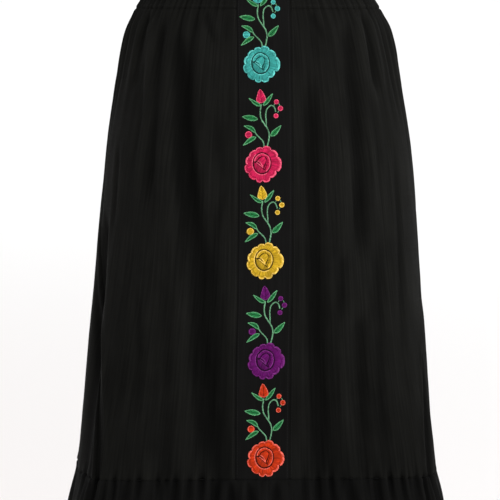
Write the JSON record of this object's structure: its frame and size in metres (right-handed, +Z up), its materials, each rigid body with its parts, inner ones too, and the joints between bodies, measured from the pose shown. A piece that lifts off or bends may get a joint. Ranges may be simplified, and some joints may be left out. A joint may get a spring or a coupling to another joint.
{
  "type": "mexican fiesta dress",
  "caption": "Sleeveless black dress in its hollow worn form, with an elastic waist, a gathered skirt, a ruffled hem and a strip of embroidered roses down the front.",
  "frame": {"origin": "midway between the middles of the two shoulder seams, where the wearer's shoulders hold the dress up", "axes": "+Z up, -Y the front of the dress, +X the wearer's left"},
  "size_m": [0.4664, 0.3813, 1.104],
  "materials": {
    "dress_cloth": "matte black cotton with fine upright slubs",
    "panel_cloth": "matte black cotton, pressed flat",
    "ruffle_cloth": "matte black cotton, gathered",
    "embroidery_thread": "bright satin-stitched rayon thread in several colours",
    "black_thread": "black sewing thread"
  },
  "bodies": {
    "root": {"centre_panel": "panel_cloth", "bodice_front_left": "dress_cloth", "bodice_front_right": "dress_cloth", "bodice_back": "dress_cloth", "waistband_front_left": "dress_cloth", "waistband_front_right": "dress_cloth", "waistband_back": "dress_cloth", "skirt_front_left": "dress_cloth", "skirt_front_right": "dress_cloth", "skirt_back": "dress_cloth", "ruffle_front": "ruffle_cloth", "ruffle_back": "ruffle_cloth"}
  },
  "joints": []
}
